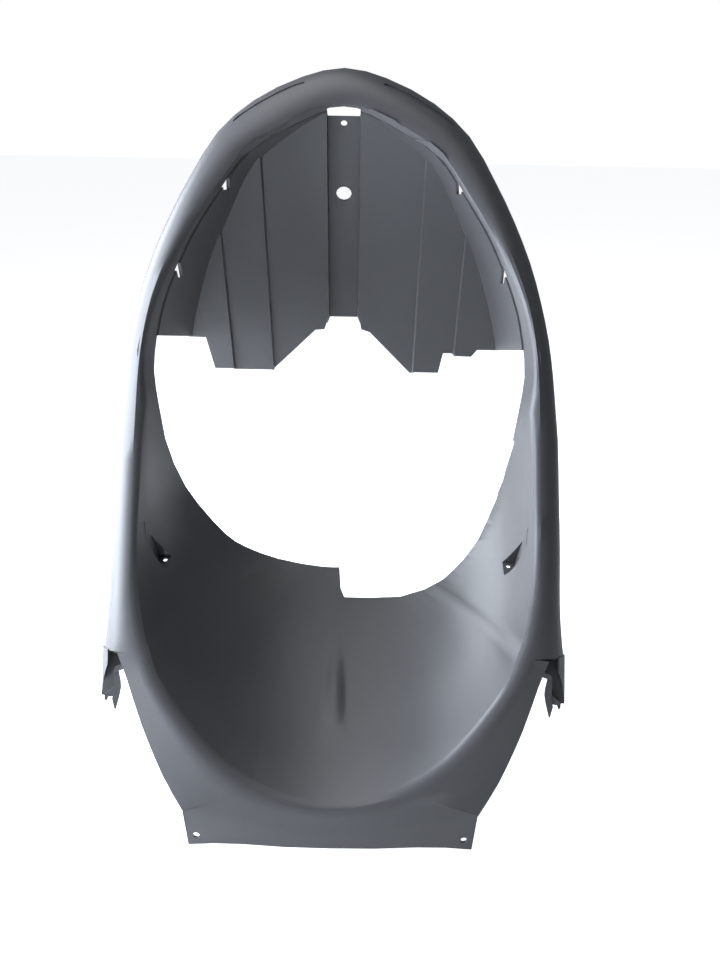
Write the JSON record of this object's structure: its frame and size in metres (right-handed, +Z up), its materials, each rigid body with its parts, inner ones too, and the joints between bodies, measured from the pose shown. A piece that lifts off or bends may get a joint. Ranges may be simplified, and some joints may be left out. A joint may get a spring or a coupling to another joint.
{
  "type": "scooter front panel",
  "caption": "Teardrop-rimmed moulded scooter front panel with an open bowl, a corrugated roof wall behind its arch and a screw flange at the foot.",
  "frame": {"origin": "midway between the two screw holes, on the front face of the flange", "axes": "+X to the right as seen from the front, +Y to the rear of the scooter, +Z up, with the flange upright"},
  "size_m": [0.422, 0.3635, 0.6495],
  "materials": {
    "panel": "satin, very fine grain, dark grey"
  },
  "bodies": {
    "root": {"panel": "panel"}
  },
  "joints": []
}
